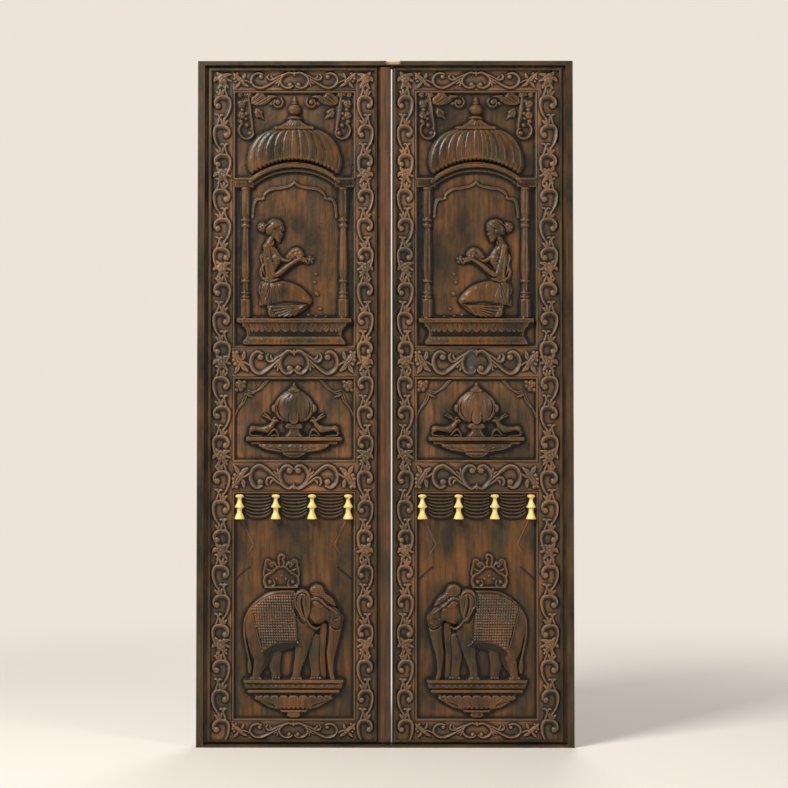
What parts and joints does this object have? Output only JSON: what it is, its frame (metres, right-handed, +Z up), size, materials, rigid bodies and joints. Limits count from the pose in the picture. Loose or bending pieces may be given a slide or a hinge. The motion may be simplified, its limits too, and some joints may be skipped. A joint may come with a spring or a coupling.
{
  "type": "carved double door",
  "caption": "Tall double door in a thin frame, with scroll-carved stiles and rails, relief-carved panels, small brass bells and leaves that swing back on butt hinges.",
  "frame": {"origin": "middle of the door's depth and width, at the underside of the sill", "axes": "+Z up the door, +X across it to the right as seen from the carved face, -Y out of it"},
  "size_m": [1.168, 0.0654, 2.13],
  "materials": {
    "frame_wood": "dark stained hardwood, waxed, worn at the edges",
    "leaf_wood": "carved dark hardwood, waxed, rubbed red-brown on the high places",
    "panel_wood": "carved dark hardwood, waxed, rubbed red-brown in patches",
    "strip_wood": "plain dark hardwood, satin wax",
    "bell_brass": "light yellow brass, softly polished",
    "hinge_steel": "dull oiled steel"
  },
  "bodies": {
    "frame": {"frame_left_jamb": "frame_wood", "frame_right_jamb": "frame_wood", "frame_head": "frame_wood", "frame_sill": "frame_wood", "left_bottom_frame_hinge": "hinge_steel", "left_middle_frame_hinge": "hinge_steel", "left_top_frame_hinge": "hinge_steel", "left_bottom_hinge_pin": "hinge_steel", "left_middle_hinge_pin": "hinge_steel", "left_top_hinge_pin": "hinge_steel", "left_frame_hinge_screws": "hinge_steel", "right_bottom_frame_hinge": "hinge_steel", "right_middle_frame_hinge": "hinge_steel", "right_top_frame_hinge": "hinge_steel", "right_bottom_hinge_pin": "hinge_steel", "right_middle_hinge_pin": "hinge_steel", "right_top_hinge_pin": "hinge_steel", "right_frame_hinge_screws": "hinge_steel"},
    "left_leaf": {"left_hinge_stile": "leaf_wood", "left_meeting_stile": "leaf_wood", "left_top_rail": "leaf_wood", "left_upper_cross_rail": "leaf_wood", "left_lower_cross_rail": "leaf_wood", "left_bottom_rail": "leaf_wood", "left_edge_moulding": "leaf_wood", "left_upper_panel": "panel_wood", "left_middle_panel": "panel_wood", "left_lower_panel": "panel_wood", "left_leaf_hinge_screws": "hinge_steel", "left_bell_1": "bell_brass", "left_bell_2": "bell_brass", "left_bell_3": "bell_brass", "left_bell_4": "bell_brass", "left_bottom_leaf_hinge": "hinge_steel", "left_middle_leaf_hinge": "hinge_steel", "left_top_leaf_hinge": "hinge_steel", "centre_strip": "strip_wood"},
    "right_leaf": {"right_hinge_stile": "leaf_wood", "right_meeting_stile": "leaf_wood", "right_top_rail": "leaf_wood", "right_upper_cross_rail": "leaf_wood", "right_lower_cross_rail": "leaf_wood", "right_bottom_rail": "leaf_wood", "right_edge_moulding": "leaf_wood", "right_upper_panel": "panel_wood", "right_middle_panel": "panel_wood", "right_lower_panel": "panel_wood", "right_leaf_hinge_screws": "hinge_steel", "right_bell_1": "bell_brass", "right_bell_2": "bell_brass", "right_bell_3": "bell_brass", "right_bell_4": "bell_brass", "right_bottom_leaf_hinge": "hinge_steel", "right_middle_leaf_hinge": "hinge_steel", "right_top_leaf_hinge": "hinge_steel"}
  },
  "joints": [
    {"name": "left_leaf_swing", "type": "hinge", "parent": "frame", "child": "left_leaf", "pos_m": [-0.5685, 0.02775, 1.0625], "axis": [0, 0, 1], "range_deg": [0, 110]},
    {"name": "right_leaf_swing", "type": "hinge", "parent": "frame", "child": "right_leaf", "pos_m": [0.5685, 0.02775, 1.0625], "axis": [0, 0, -1], "range_deg": [0, 110]}
  ]
}
